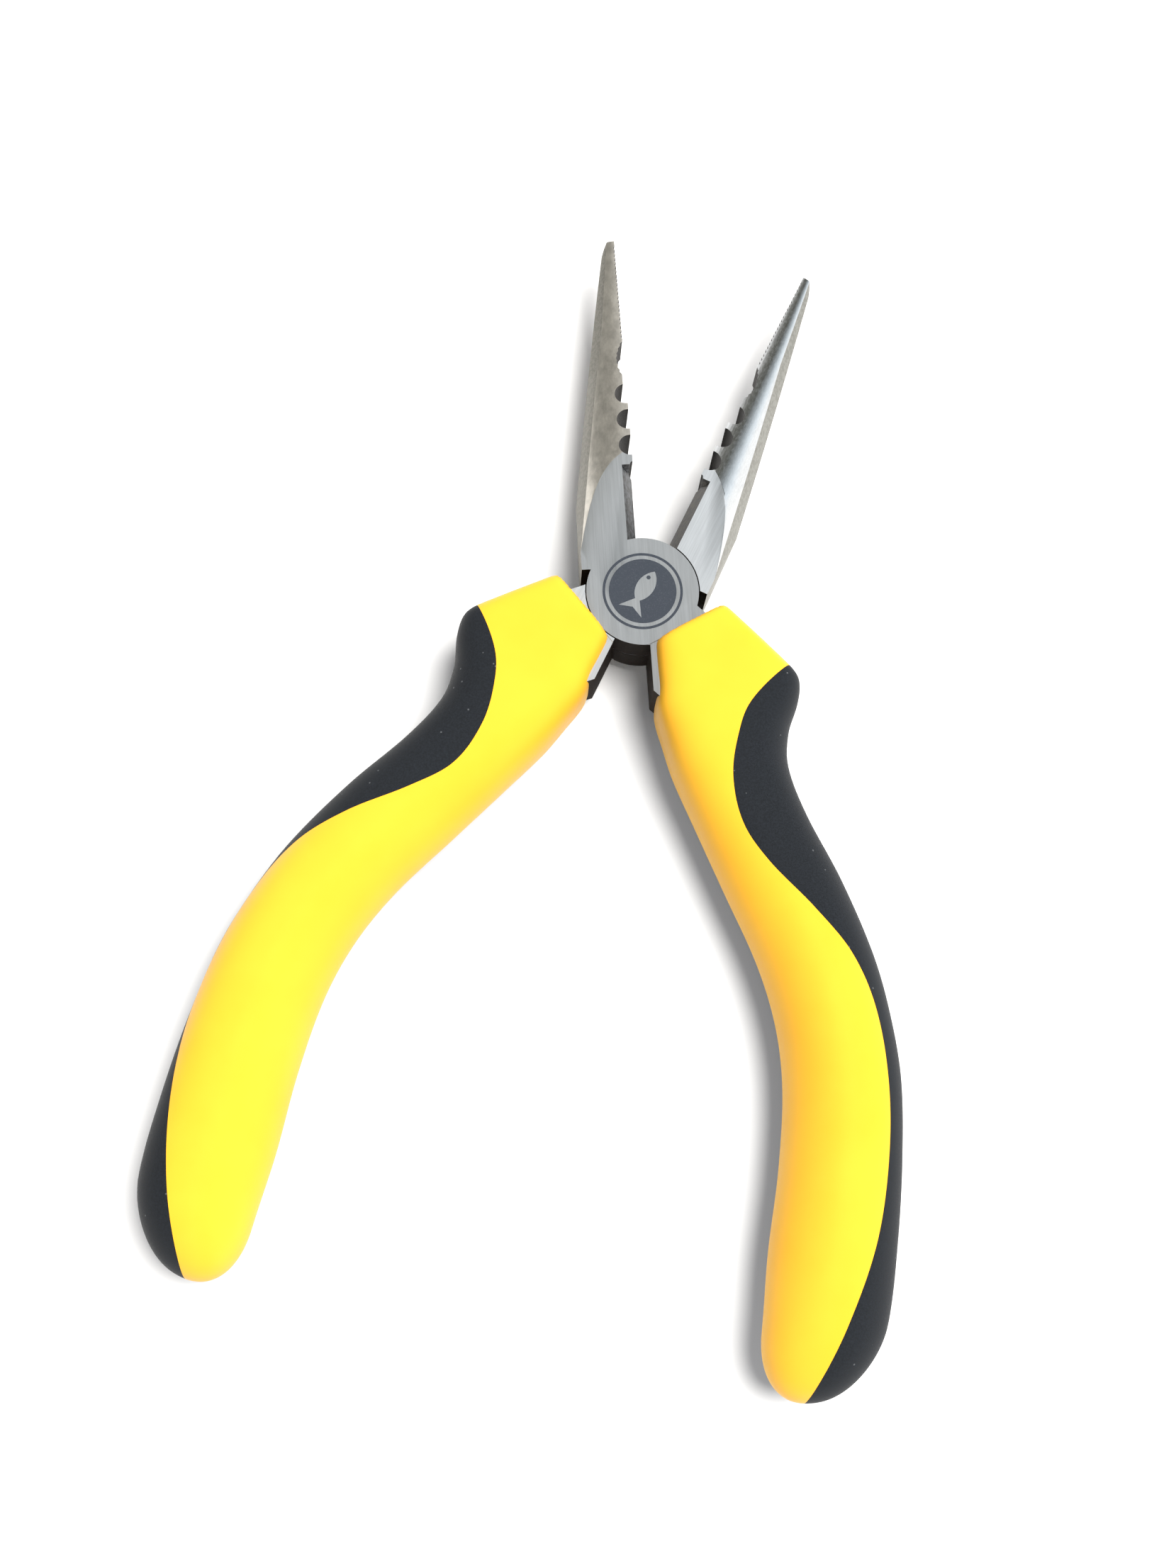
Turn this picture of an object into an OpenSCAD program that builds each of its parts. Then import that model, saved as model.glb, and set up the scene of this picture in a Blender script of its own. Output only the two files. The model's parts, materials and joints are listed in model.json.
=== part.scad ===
// Long-nose fishing pliers with a side cutter, crimping notches and two-colour grips.
// Two equal levers cross in a lap joint and turn on one flush rivet.
// Each lever is drawn closed, in its own frame: pivot at the origin, jaw along +Y,
// handle along -Y on the +X side, middle of the thickness at z = 0.

/* [Head] */
// Length of a jaw, from the pivot to the tip
jaw_len = 54; // [44:1:66]
// How far a jaw's outer edge stands out past the joint disc
jaw_over = 0.4; // [0.3:0.1:1.2]
// Thickness of the head across both halves of the lap joint
head_t = 9.2; // [7.4:0.1:11.2]
// Radius of the round joint discs
disc_r = 7.5; // [6.2:0.1:9]
// Width of one jaw at its tip
tip_w = 1.6; // [1.2:0.1:2.2]
// Half thickness of the nose at its tip
tip_t = 0.9; // [0.6:0.1:1.5]
// Half opening of the jaws as the pliers lie at rest, in degrees
rest_half = 14.6; // [0:0.1:20]
// Whole opening at which the shoulders meet, in degrees
open_max = 45; // [42:1:48]

/* [Nose] */
// Distance from the pivot at which the outer edge starts to taper
taper_at = 14; // [12:0.5:18]
// Distance from the pivot at which the flat side gives way to the round nose
neck_at = 20.5; // [19:0.5:24]
// Share of the taper that is curved
taper_bow = 0.09; // [0:0.01:0.4]
// Extra slope of the nose's round top below the neck
flare = 0.24; // [0:0.01:0.4]
// Width of the plain band along the nose's outer edge
band_w = 1.2; // [0.6:0.05:1.6]

/* [Bite] */
// How far each jaw's face stays from the closing line
bite_gap = 0.05; // [0.02:0.01:0.2]
// Distance from tooth to tooth
tooth_pitch = 0.7; // [0.5:0.05:1.2]
// Depth of a tooth
tooth_h = 0.22; // [0.1:0.02:0.4]
// Length of the hollow that grips round things
hollow_len = 6; // [4:0.5:8]
// Depth of the hollow
hollow_h = 0.9; // [0.4:0.1:1.4]
// Radius of a crimping notch
notch_r = 1.5; // [1:0.1:1.7]
// Distance from notch to notch
notch_pitch = 4; // [3.8:0.1:4.6]
// Number of crimping notches
notch_n = 3; // [1:1:3]
// Width of the cutter's bevel
bevel_w = 1.5; // [0.8:0.05:1.8]

/* [Joint] */
// Diameter of the rivet
rivet_d = 5.5; // [4.5:0.1:6.6]
// Depth of the rivet's flush countersunk heads
rivet_sink = 1.25; // [0.8:0.05:1.6]
// Running clearance round the rivet in the rear lever
rivet_fit = 0.04; // [0.02:0.01:0.1]
// Clearance round a disc in the other lever's seat
seat_fit = 0.15; // [0.1:0.05:0.3]
// Gap between the two sliding faces of the lap joint
lap_gap = 0.04; // [0.02:0.01:0.1]
// Gap that is left between the shoulders when the pliers are fully open
stop_gap = 0.1; // [0.05:0.05:0.3]

/* [Handles] */
// Distance from the pivot to the end of a handle
handle_len = 104; // [86:1:126]
// Width of a grip at the palm
grip_w = 15.2; // [13.5:0.1:17]
// Thickness of a grip at the palm
grip_t = 14.6; // [13:0.1:18]
// Thickness of each of the collar's two cheeks over the head
cheek_t = 2.4; // [1.6:0.1:3]
// Width of the tang inside the grip
tang_w = 8.4; // [7:0.1:10.1]
// Thickness of the tang inside the grip
tang_t = 5.6; // [4:0.1:6.5]
// Play between the grip's yellow sleeve and its dark inlay
seam_gap = 0.04; // [0.02:0.01:0.1]
// How much lower the metal is under the collar than on the ground faces
collar_step = 0.15; // [0.1:0.05:0.3]

/* [Hidden] */

half_t = head_t / 2;
seat_r = disc_r + seat_fit;
jaw_w = disc_r + jaw_over;
collar_t = head_t + 2 * cheek_t;
far = 200;
eps = 0.01;
round_fn = 96;
bore_fn = 64;
notch_fn = 48;
relief_fn = 24;

// Jaw: the shoulder that stops the opening, and where each part of the bite lies.
shoulder_y = 3.4;
notch_y = neck_at + 0.6;
notch_x = -0.25;
setback = 0.45;
setback_rise = 0.3;
notch_top = notch_y + (notch_n - 1) * notch_pitch;
setback_y = notch_top - notch_pitch / 2 + 0.9;
hollow_y = notch_top + notch_r + 1.2;
hollow_tooth_h = 0.15;
teeth_y = hollow_y + hollow_len;
teeth_end = 0.4;
cut_end = neck_at - 2.3;
cut_land = 0.3;
relief_r = 0.45;
tip_bevel = 0.5;
jaw_root_w = 1;

// Collar: its mouth is a straight edge square to this direction.
mouth_turn = 25;
mouth_own = disc_r - 0.5;
mouth_other = seat_r + 0.05;
mouth_fit = 0.1;
disc_room = 1;
collar_in = 1.1;
root_in = 0.5;
root_out = seat_r + 1.65;
root_end = 14.6;
neck_in = root_in + 2.4;
tang_end = 88;

// Handle outline, as [distance from pivot, inner edge, outer edge].
// Below the collar the distances stretch with the handle's length.
collar_end = 20;
nominal_end = 104;
nominal_w = 15.2;
OUTLINE = [
    [0, collar_in, 8.5], [11.2, collar_in, 18.8], [13.2, collar_in, 20], [16, 0.8, 19.7],
    [20, 1.5, 18.2], [24.5, 2.5, 17.8], [31, 4.7, 19.6], [40, 7.9, 23.4], [50, 11.5, 26.6],
    [58, 13.2, 28], [66, 13.4, 28.5], [76, 12, 27.6], [86, 9.8, 26], [95, 8.3, 24], [104, 6.4, 20.6]
];
// Section, as [distance, share of palm thickness, outer squareness, inner squareness].
SECTION = [
    [0, 1, 5, 5], [12, 1, 5, 5], [20, 0.93, 3.2, 3], [34, 0.92, 2.7, 2], [60, 1, 2.5, 1.75],
    [84, 0.95, 2.5, 1.75], [96, 0.84, 2.4, 1.9], [104, 0.74, 2.3, 2.1]
];
// Edge between sleeve and inlay, as [distance, place across, lean from face to face].
SEAM = [
    [10.6, 21, 0.2], [11.6, 18.6, 0.25], [16.5, 13.3, 0.4], [21, 11.2, 0.4], [26.5, 10.2, 0.5],
    [32.7, 11.2, 0.6], [38, 14.6, 1], [44, 19.8, 1.25], [50, 24, 1.2], [57, 26.3, 1.1],
    [66, 27, 1.1], [75, 26.2, 1.1], [85, 23.4, 0.75], [94.5, 18.8, 0.55], [105, 12, 0]
];
seam_end = SEAM[len(SEAM) - 1][0];
cap_start = 95;
cap_power = 2.2;
blend_len = 10;
spare_len = 20;
ring_n = 24;
tang_rows = 14;
tang_taper = 0.02;
tang_taper_at = 30;
seam_rows = 44;
COLLAR_STATIONS = [1 : 1.5 : 17.5];
palm_from = 19;
palm_rows = 24;
CAP_TURNS = [20 : 14 : 76];

// Nose: share of a narrow nose that its edge band takes, the length over which the flare
// gathers, and how finely its skin and its outer edge are drawn.
band_share = 0.3;
flare_len = 1.5;
nose_rows = 20;
nose_arc = 6;
edge_rows = 8;

// Smooth curve through the rows of a table: column c at distance d.
function row(t, d, i = 0) = (i >= len(t) - 2 || d < t[i + 1][0]) ? i : row(t, d, i + 1);
function slope(t, i, c) = let (a = max(i - 1, 0), b = min(i + 1, len(t) - 1))
    (t[b][c] - t[a][c]) / (t[b][0] - t[a][0]);
function at(t, d, c) = let (
    i = row(t, d),
    h = t[i + 1][0] - t[i][0],
    u = min(max((d - t[i][0]) / h, 0), 1),
    a = slope(t, i, c) * h,
    b = slope(t, i + 1, c) * h
) (2 * pow(u, 3) - 3 * u * u + 1) * t[i][c] + (pow(u, 3) - 2 * u * u + u) * a
    + (3 * u * u - 2 * pow(u, 3)) * t[i + 1][c] + (pow(u, 3) - u * u) * b;

// Distance along the real handle for a distance along the nominal one.
function reach(d) = d < collar_end ? d
    : collar_end + (d - collar_end) * (handle_len - collar_end) / (nominal_end - collar_end);
// How far the end cap has closed, from 1 to 0.
function cap(d) = d <= cap_start ? 1
    : pow(max(0, 1 - pow((d - cap_start) / (nominal_end - cap_start), cap_power)), 1 / cap_power);
// Extra width below the collar when the palm is wider or narrower than nominal.
function spare(d) = (grip_w - nominal_w) / 2 * min(max((d - collar_end) / spare_len, 0), 1);
function inner(d) = at(OUTLINE, d, 1) - spare(d);
function outer(d) = at(OUTLINE, d, 2) + spare(d);
function middle(d) = (inner(d) + outer(d)) / 2;
function half_w(d) = (outer(d) - inner(d)) / 2 * cap(d);
function thick(d) = d <= collar_end ? collar_t / 2
    : let (u = min((d - collar_end) / blend_len, 1)) at(SECTION, d, 1) * grip_t / 2 * cap(d) * u
        + collar_t / 2 * (1 - u);
function power(v, n) = sign(v) * pow(abs(v), 2 / n);
// One ring of the grip's skin; its inner side is rounder than its outer side.
function ring(d) = [for (k = [0 : ring_n - 1]) let (
    a = (k + 0.5) * 360 / ring_n,
    n = at(SECTION, d, cos(a) < 0 ? 3 : 2)
) [middle(d) + half_w(d) * power(cos(a), n), -reach(d), thick(d) * power(sin(a), n)]];

// Nose: width of a jaw and half thickness of its round top, at distance y from the pivot.
function taper(y) = (y - taper_at) / (jaw_len - taper_at);
function nose_w(y) = jaw_w - (jaw_w - tip_w) * ((1 - taper_bow) * taper(y)
    + taper_bow * pow(max(taper(y), 0), 2));
function nose_t(y) = tip_t + (half_t - tip_t) * (jaw_len - y) / (jaw_len - neck_at)
    + flare * pow(max(neck_at - y, 0), 2) / (max(neck_at - y, 0) + flare_len);
function nose_top(y, x) = nose_t(y) * sqrt(max(0, 1 - pow(x / nose_w(y), 2)));
function nose_edge(y) = nose_w(y) - min(band_w, band_share * nose_w(y));

// Cross-section of the nose at y, from the closing line out to the edge band, then underneath.
function nose_xs(y) = [-1, for (k = [1 : nose_arc]) nose_edge(y) * sin(90 * k / nose_arc)];
function nose_ring(y) = let (
    xs = nose_xs(y),
    top = [for (x = xs) [-x, y, nose_top(y, max(x, 0))]],
    low = [for (i = [len(xs) - 1 : -1 : 0]) [-xs[i], y, -nose_top(y, max(xs[i], 0))]]
) concat(top, [[-nose_w(y), y, 0]], low);

// A closed skin over rings of equal size.
module loft(rings) {
    n = len(rings[0]);
    m = len(rings);
    sides = [for (i = [0 : m - 2]) for (k = [0 : n - 1]) let (j = (k + 1) % n)
        each [[i * n + k, (i + 1) * n + k, (i + 1) * n + j], [i * n + k, (i + 1) * n + j, i * n + j]]];
    ends = [[for (k = [0 : n - 1]) k], [for (k = [n - 1 : -1 : 0]) (m - 1) * n + k]];
    polyhedron([for (r = rings) each r], concat(sides, ends));
}

// Everything with p . direction(turn) below a limit, as a slab between two heights.
module keep_below(turn, limit, low, high) {
    rotate([0, 0, turn]) translate([-far, -far, low]) cube([far + limit, 2 * far, high - low]);
}

// Plan of the jaw: a toothed, hollowed inner edge and a tapering outer one.
module jaw_plan() {
    tooth_n = floor((jaw_len - teeth_end - teeth_y) / tooth_pitch);
    edge_end = jaw_len - 2 * tip_bevel;
    hollow_n = floor(hollow_len / tooth_pitch);
    polygon(concat(
        [[-bite_gap, 0], [-bite_gap, setback_y], [-bite_gap - setback, setback_y + setback_rise],
            [-bite_gap - setback, hollow_y]],
        [for (i = [1 : 2 * hollow_n - 1]) let (u = i / (2 * hollow_n))
            [-bite_gap - hollow_h * sin(180 * u) - setback * (1 - u) + (i % 2) * hollow_tooth_h,
                hollow_y + hollow_len * u]],
        [for (i = [0 : 2 * tooth_n]) [-bite_gap - (i % 2) * tooth_h, teeth_y + i * tooth_pitch / 2]],
        [[-bite_gap, jaw_len], [-tip_w + tip_bevel, jaw_len], [-tip_w, edge_end]],
        [for (i = [1 : edge_rows]) let (y = edge_end - (edge_end - taper_at) * i / edge_rows)
            [-nose_w(y), y]],
        [[-jaw_w, shoulder_y], [-jaw_root_w, shoulder_y], [-jaw_root_w, 0]]
    ));
}

// The cutter's bevel leaves a thin edge in the middle of the thickness.
module cutter_bevel() {
    for (side = [0, 1]) mirror([0, 0, side]) rotate([90, 0, 0]) translate([0, 0, -cut_end])
        linear_extrude(cut_end)
            polygon([[-bite_gap - bevel_w, half_t + eps], [1, half_t + eps], [1, cut_land],
                [-bite_gap, cut_land]]);
}

module jaw() {
    difference() {
        intersection() {
            linear_extrude(head_t, center = true) jaw_plan();
            loft([for (i = [0 : nose_rows]) nose_ring(jaw_len + 1 - (jaw_len + 2) * i / nose_rows)]);
        }
        for (i = [0 : notch_n - 1]) translate([notch_x, notch_y + i * notch_pitch, 0])
            cylinder(h = far, r = notch_r, center = true, $fn = notch_fn);
        translate([0, cut_end, 0]) cylinder(h = far, r = relief_r, center = true, $fn = relief_fn);
        cutter_bevel();
    }
}

// Half width of the tang, which narrows a little towards its end, and the distance of its row i.
function tang_half(d) = tang_w / 2 - tang_taper * max(d - tang_taper_at, 0);
function tang_d(i) = root_end + 2 + (tang_end - root_end) * i / tang_rows;
module tang_plan() {
    polygon(concat(
        [for (i = [0 : tang_rows]) let (d = tang_d(i)) [middle(d) - tang_half(d), -reach(d)]],
        [for (i = [tang_rows : -1 : 0]) let (d = tang_d(i)) [middle(d) + tang_half(d), -reach(d)]],
        [[root_out, -root_end + 2], [neck_in, -root_end + 2]]
    ));
}

// Plan of the full-thickness root, whose shoulder meets the other jaw's at full opening.
module root_plan() {
    intersection() {
        polygon([[root_in, 0], [root_out, 0], [root_out, -root_end], [neck_in, -root_end - 1.6],
            [root_in, -root_end + 0.8]]);
        rotate(90 - open_max) translate([-far, -far]) square([far + shoulder_y - stop_gap, 2 * far]);
    }
}

module mouth_side(limit, low, high) {
    keep_below(mouth_turn - 90, limit, low, high);
}

// The collar sits on metal that is a little lower than the ground faces.
module under_collar() {
    for (side = [0, 1]) mirror([0, 0, side]) difference() {
        translate([-2, -far, half_t - collar_step]) cube([far, far, 1]);
        mouth_side((side == 0 ? mouth_own : mouth_other) - mouth_fit, 0, far);
    }
}

module rivet_shape(grow, low, high) {
    r = rivet_d / 2 + grow;
    translate([0, 0, low]) cylinder(h = high - low, r = r, $fn = bore_fn);
    if (high > 0) translate([0, 0, half_t - rivet_sink])
        cylinder(h = rivet_sink, r1 = r, r2 = r + rivet_sink, $fn = bore_fn);
    if (low < 0) translate([0, 0, -half_t])
        cylinder(h = rivet_sink, r1 = r + rivet_sink, r2 = r, $fn = bore_fn);
}

module lever(bore_grow) {
    difference() {
        union() {
            // Both halves of the thickness, open on one side round the other lever's disc.
            difference() {
                union() {
                    jaw();
                    linear_extrude(head_t, center = true) root_plan();
                }
                translate([0, 0, lap_gap / 2 - far]) cylinder(h = far, r = seat_r, $fn = round_fn);
            }
            // This lever's own disc.
            translate([0, 0, lap_gap / 2]) cylinder(h = half_t - lap_gap / 2, r = disc_r, $fn = round_fn);
            linear_extrude(tang_t, center = true) tang_plan();
        }
        under_collar();
        rivet_shape(bore_grow, -eps, half_t + eps);
    }
}

// Outer form of a grip: one smooth skin from the collar to the rounded end.
module grip_form() {
    stations = concat(
        [for (d = COLLAR_STATIONS) d],
        [for (i = [0 : palm_rows]) palm_from + (cap_start - palm_from) * i / palm_rows],
        [for (a = CAP_TURNS) cap_start + (nominal_end - cap_start) * sin(a)],
        [nominal_end - 0.02]
    );
    difference() {
        loft([for (d = stations) ring(d)]);
        mouth_side(mouth_own, 0, far);
        mouth_side(mouth_other, -far, 0);
    }
}

// What the grip is moulded round.
module grip_core() {
    linear_extrude(head_t - 2 * collar_step, center = true) root_plan();
    linear_extrude(tang_t, center = true) tang_plan();
    translate([0, 0, -half_t]) cylinder(h = head_t, r = seat_r + disc_room, $fn = bore_fn);
}

// Plan of the region that belongs to the inlay; lean moves its edge on one face.
module inlay_plan(lean_side, shift) {
    polygon(concat(
        [for (i = [0 : seam_rows]) let (d = SEAM[0][0] + (seam_end - SEAM[0][0]) * i / seam_rows)
            [at(SEAM, d, 1) + lean_side * at(SEAM, d, 2) + spare(d) + shift, -reach(d)]],
        [[at(SEAM, seam_end, 1) + shift, -far], [far, -far], [far, -SEAM[0][0]]]
    ));
}

module inlay_side(shift) {
    linear_extrude(far) inlay_plan(-1, shift);
    translate([0, 0, -far]) linear_extrude(far) inlay_plan(1, shift);
}

module grip_sleeve() {
    difference() {
        grip_form();
        grip_core();
        inlay_side(0);
    }
}

module grip_inlay() {
    difference() {
        intersection() {
            grip_form();
            inlay_side(seam_gap);
        }
        grip_core();
    }
}

// The front lever carries the left jaw; the rear lever is the same shape, turned over.
module place_front() {
    translate([0, 0, half_t]) rotate([0, 0, rest_half]) children();
}

module place_rear() {
    translate([0, 0, half_t]) rotate([0, 0, -rest_half]) rotate([0, 180, 0]) children();
}

module front_lever() {
    color([0.62, 0.63, 0.63]) place_front() lever(0);
}

module rear_lever() {
    color([0.7, 0.72, 0.74]) place_rear() lever(rivet_fit);
}

module pivot_rivet() {
    color([0.66, 0.67, 0.68]) place_front() rivet_shape(0, -half_t, half_t);
}

module front_grip_sleeve() {
    color([1, 0.87, 0.12]) place_front() grip_sleeve();
}

module front_grip_inlay() {
    color([0.2, 0.21, 0.23]) place_front() grip_inlay();
}

module rear_grip_sleeve() {
    color([1, 0.87, 0.12]) place_rear() grip_sleeve();
}

module rear_grip_inlay() {
    color([0.2, 0.21, 0.23]) place_rear() grip_inlay();
}

front_lever();
rear_lever();
pivot_rivet();
front_grip_sleeve();
front_grip_inlay();
rear_grip_sleeve();
rear_grip_inlay();
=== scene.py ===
# %% [markdown]
# # Long-nose fishing pliers
#
# This lesson builds the looks of a pair of fishing pliers around a finished CAD model.
# The CAD model fixes every size, place and joint. Blender adds what the eye wants: ground and
# polished steel, black oxide in the corners, satin yellow sleeves and soft dark inlays.
# All shapes are drawn in millimetres in one lever's own frame, because the two levers are the
# same forging, and are then placed in the shared frame, in metres.

# %% Load the frame
import json
import math

import bmesh
import bpy
import numpy as np
from mathutils import Matrix, Vector


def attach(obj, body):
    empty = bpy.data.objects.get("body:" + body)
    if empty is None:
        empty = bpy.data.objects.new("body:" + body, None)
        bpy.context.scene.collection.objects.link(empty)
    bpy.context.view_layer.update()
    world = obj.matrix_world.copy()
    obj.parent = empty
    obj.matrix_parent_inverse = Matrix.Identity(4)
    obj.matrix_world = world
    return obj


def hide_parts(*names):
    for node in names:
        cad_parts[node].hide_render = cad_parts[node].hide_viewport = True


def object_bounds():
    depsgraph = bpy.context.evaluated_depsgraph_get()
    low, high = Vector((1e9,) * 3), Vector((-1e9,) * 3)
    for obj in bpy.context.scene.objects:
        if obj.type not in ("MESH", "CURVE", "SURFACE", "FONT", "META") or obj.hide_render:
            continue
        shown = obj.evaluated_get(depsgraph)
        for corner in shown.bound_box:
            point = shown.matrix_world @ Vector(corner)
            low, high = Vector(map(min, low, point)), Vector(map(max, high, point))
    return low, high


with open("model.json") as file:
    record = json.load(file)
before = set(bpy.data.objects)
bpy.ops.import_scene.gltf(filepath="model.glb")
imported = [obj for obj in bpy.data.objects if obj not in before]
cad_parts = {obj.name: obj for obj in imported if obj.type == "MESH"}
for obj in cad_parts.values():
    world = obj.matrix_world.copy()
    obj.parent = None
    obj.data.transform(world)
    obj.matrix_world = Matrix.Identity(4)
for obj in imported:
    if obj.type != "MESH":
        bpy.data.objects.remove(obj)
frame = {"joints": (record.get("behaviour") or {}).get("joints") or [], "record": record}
cad_low, cad_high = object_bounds()
MM = 0.001
print("CAD box in mm:", [round(v / MM, 1) for v in (*cad_low, *cad_high)])

# %% [markdown]
# ## Sizes
#
# The head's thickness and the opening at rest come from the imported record: the front mount lies
# on the front face, and the joint's lower limit is the closed pliers. The other sizes are the
# ones that the CAD model was drawn with. They could be measured from its mesh, but a formula
# gives smooth surfaces at any fineness, so the same formulas are used again here.

# %% Head sizes, in millimetres
mounts = {m["name"]: m for m in frame["record"]["mounts"]}
closed_turn, widest_turn = frame["joints"][0]["range_deg"]
head_t = mounts["front_joint_face"]["pos_m"][2] / MM
rest_half = -closed_turn / 2
open_max = widest_turn - closed_turn
half_t = head_t / 2
jaw_len, disc_r, jaw_w = 54, 7.5, 7.9
tip_w, tip_t, tip_bevel = 1.6, 0.9, 0.5
taper_at, neck_at, taper_bow, flare, band_w = 14, 20.5, 0.09, 0.24, 1.2
seat_r, lap_gap, shoulder_y, stop_gap = disc_r + 0.15, 0.04, 3.4, 0.1
rivet_r, rivet_sink, rivet_fit = 2.75, 1.25, 0.04
blank_t = half_t + 0.6  # half the blank's thickness, before its faces are ground
print(f"head {head_t:.2f} mm thick, lying {2 * rest_half:.1f} degrees open")

# %% Bite sizes, in millimetres
bite_gap, tooth_pitch, tooth_h = 0.05, 0.7, 0.22
hollow_len, hollow_h, hollow_tooth_h = 6, 0.9, 0.15
notch_r, notch_pitch, notch_n, notch_x = 1.5, 4, 3, -0.25
notch_y = neck_at + 0.6
notch_top = notch_y + (notch_n - 1) * notch_pitch
setback, setback_rise, setback_y = 0.45, 0.3, notch_top - notch_pitch / 2 + 0.9
hollow_y = notch_top + notch_r + 1.2
teeth_y = hollow_y + hollow_len
cut_end, cut_land, bevel_w, bevel_past, relief_r = neck_at - 2.3, 0.3, 1.5, 1.5, 0.45
tip_land, tooth_clear = 0.4, 0.6
tooth_n = int((jaw_len - tip_land - teeth_y) / tooth_pitch)
print(f"{tooth_n} tip teeth start {teeth_y:.1f} mm from the pivot")

# %% Handle sizes, in millimetres
mouth_turn, mouth_own, mouth_other, mouth_fit = 25, disc_r - 0.5, seat_r + 0.05, 0.1
mouth_radius = 0.9
root_in, root_out, root_end = 0.5, seat_r + 1.65, 14.6
neck_in, recess_in = root_in + 2.4, -2
tang_end, tang_w, tang_t, tang_taper, tang_taper_at = 88, 8.4, 5.6, 0.02, 30
collar_t, grip_t, collar_step, seam_gap = head_t + 4.8, 14.6, 0.15, 0.04
collar_end, handle_end, cap_start, cap_power, blend_len = 20, 104, 95, 2.2, 10
OUTLINE = [
    (0, 1.1, 8.5), (11.2, 1.1, 18.8), (13.2, 1.1, 20), (16, 0.8, 19.7), (20, 1.5, 18.2),
    (24.5, 2.5, 17.8), (31, 4.7, 19.6), (40, 7.9, 23.4), (50, 11.5, 26.6), (58, 13.2, 28),
    (66, 13.4, 28.5), (76, 12, 27.6), (86, 9.8, 26), (95, 8.3, 24), (104, 6.4, 20.6),
]
SECTION = [
    (0, 1, 5, 5), (12, 1, 5, 5), (20, 0.93, 3.2, 3), (34, 0.92, 2.7, 2), (60, 1, 2.5, 1.75),
    (84, 0.95, 2.5, 1.75), (96, 0.84, 2.4, 1.9), (104, 0.74, 2.3, 2.1),
]
SEAM = [
    (10.6, 21, 0.2), (11.6, 18.6, 0.25), (16.5, 13.3, 0.4), (21, 11.2, 0.4), (26.5, 10.2, 0.5),
    (32.7, 11.2, 0.6), (38, 14.6, 1), (44, 19.8, 1.25), (50, 24, 1.2), (57, 26.3, 1.1),
    (66, 27, 1.1), (75, 26.2, 1.1), (85, 23.4, 0.75), (94.5, 18.8, 0.55), (105, 12, 0),
]


def curve_at(table, d, column):
    """A smooth curve through one column of a table of rows, read at distance d."""
    i = 0
    while i < len(table) - 2 and d >= table[i + 1][0]:
        i += 1

    def slope(k):
        a, b = table[max(k - 1, 0)], table[min(k + 1, len(table) - 1)]
        return (b[column] - a[column]) / (b[0] - a[0])

    step = table[i + 1][0] - table[i][0]
    u = min(max((d - table[i][0]) / step, 0), 1)
    return (
        (2 * u**3 - 3 * u**2 + 1) * table[i][column]
        + (u**3 - 2 * u**2 + u) * slope(i) * step
        + (3 * u**2 - 2 * u**3) * table[i + 1][column]
        + (u**3 - u**2) * slope(i + 1) * step
    )


print("palm width in mm:", round(curve_at(OUTLINE, 66, 2) - curve_at(OUTLINE, 66, 1), 1))

# %% [markdown]
# ## Steel finishes
# Each steel finish has a front and a rear copy in different colours; these differences are painted light
# and shade, since both levers are the same steel.
#
# A pair of pliers shows one steel in several states. The flats are surface ground and keep fine
# lines along the jaw. The round noses are polished on a belt. The outer edge bands stay matt from
# the forging die. The corners that no wheel reaches keep their black oxide, and the bite is dark
# and gritty. One material with masks could hold them all, but one material for each state is
# easier to read, and each face of the lever is simply given the state that made it.
# Every pattern is in Object coordinates, turned by a Mapping node to run along its lever.


# %% Material helpers
def new_material(name, colour, metallic=0.0, roughness=0.5):
    """A material with a Principled shader, and its node tree, shader and Object coordinates."""
    material = bpy.data.materials.new(name)
    material.use_nodes = True
    tree = material.node_tree
    shader = tree.nodes["Principled BSDF"]
    shader.inputs["Base Color"].default_value = (*colour, 1)
    shader.inputs["Metallic"].default_value = metallic
    shader.inputs["Roughness"].default_value = roughness
    return material, tree, shader


def placed(tree, scale=(1, 1, 1), turn=0.0):
    """Object coordinates, turned about Z by turn degrees and scaled: periods per metre."""
    coordinates = tree.nodes.new("ShaderNodeTexCoord")
    turned = tree.nodes.new("ShaderNodeMapping")
    turned.inputs["Rotation"].default_value = (0, 0, math.radians(-turn))
    scaled = tree.nodes.new("ShaderNodeMapping")
    scaled.inputs["Scale"].default_value = scale
    tree.links.new(coordinates.outputs["Object"], turned.inputs["Vector"])
    tree.links.new(turned.outputs["Vector"], scaled.inputs["Vector"])
    return scaled.outputs["Vector"]


def noise(tree, vector, detail=3.0, roughness=0.55):
    """A noise pattern with one period for each unit of its vector."""
    node = tree.nodes.new("ShaderNodeTexNoise")
    node.inputs["Scale"].default_value = 1
    node.inputs["Detail"].default_value = detail
    node.inputs["Roughness"].default_value = roughness
    tree.links.new(vector, node.inputs["Vector"])
    return node.outputs["Fac"]


def ramp(tree, factor, stops):
    """A colour ramp through (position, colour) stops."""
    node = tree.nodes.new("ShaderNodeValToRGB")
    elements = node.color_ramp.elements
    while len(elements) < len(stops):
        elements.new(0.5)
    for element, (position, colour) in zip(elements, stops):
        element.position = position
        element.color = (*colour, 1)
    tree.links.new(factor, node.inputs["Fac"])
    return node.outputs["Color"]


def spread(tree, factor, low, high):
    """Maps the middle of a noise pattern to the values low to high."""
    node = tree.nodes.new("ShaderNodeMapRange")
    node.inputs["From Min"].default_value = 0.3
    node.inputs["From Max"].default_value = 0.7
    node.inputs["To Min"].default_value = low
    node.inputs["To Max"].default_value = high
    tree.links.new(factor, node.inputs["Value"])
    return node.outputs["Result"]


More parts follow.
